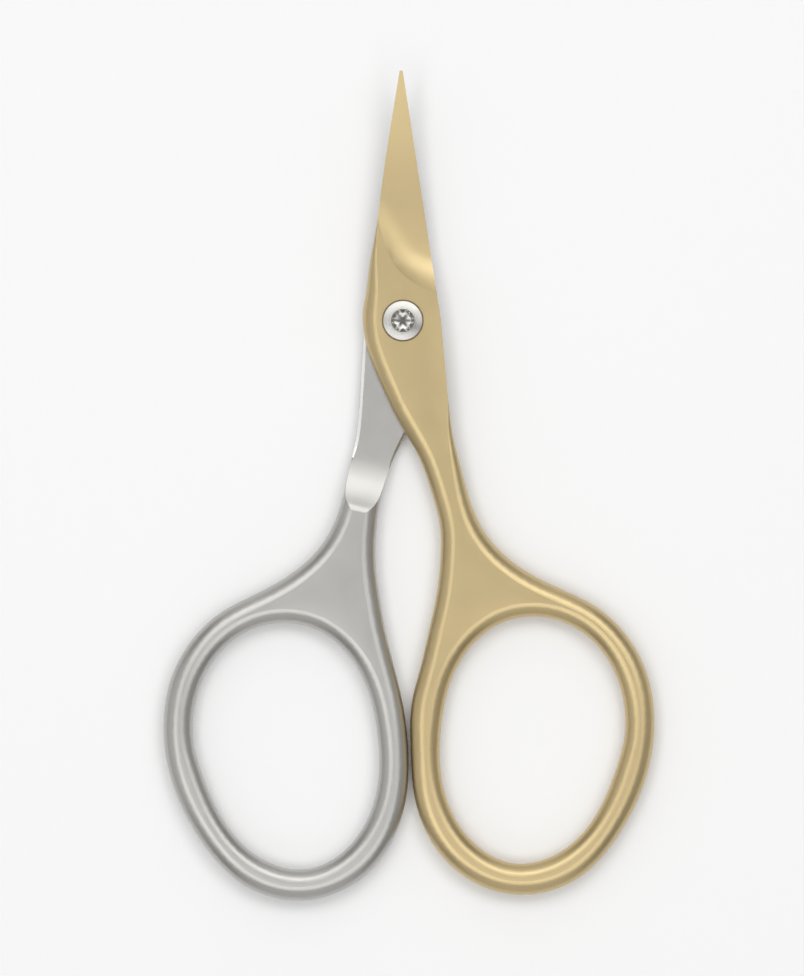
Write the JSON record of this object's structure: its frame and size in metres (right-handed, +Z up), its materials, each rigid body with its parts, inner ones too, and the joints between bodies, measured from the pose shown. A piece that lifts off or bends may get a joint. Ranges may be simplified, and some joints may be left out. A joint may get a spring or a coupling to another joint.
{
  "type": "cuticle scissors",
  "caption": "Cuticle scissors: two forged halves with fine curved blades and oval finger bows turn on one adjustable pivot screw; one half gold toned, the other satin steel.",
  "frame": {"origin": "on the pivot axis, in the plane that the scissors rest on, which is the back face of the pivot nut", "axes": "+Z up out of the face that carries the screw, along the pivot axis; +Y towards the blades' points; +X towards the bow of the front, gold toned half"},
  "size_m": [0.0534, 0.09, 0.0054],
  "materials": {
    "gold_toned_steel": "forged stainless steel, fine satin, with a thin gold toned coating",
    "satin_steel": "forged stainless steel, fine satin",
    "turned_steel": "bright turned stainless steel",
    "bearing_polymer": "black bearing polymer"
  },
  "bodies": {
    "rear": {"rear_half": "satin_steel", "pivot_nut": "turned_steel", "gap_washer": "bearing_polymer"},
    "front": {"front_half": "gold_toned_steel", "head_washer": "bearing_polymer"},
    "screw": {"pivot_screw": "turned_steel"}
  },
  "joints": [
    {"name": "pivot", "type": "hinge", "parent": "rear", "child": "front", "pos_m": [0, 0, 0], "axis": [0, 0, 1], "range_deg": [0, 110]},
    {"name": "screw_adjust", "type": "hinge", "parent": "rear", "child": "screw", "pos_m": [0, 0, 0], "axis": [0, 0, 1], "range_deg": [-90, 90]}
  ]
}
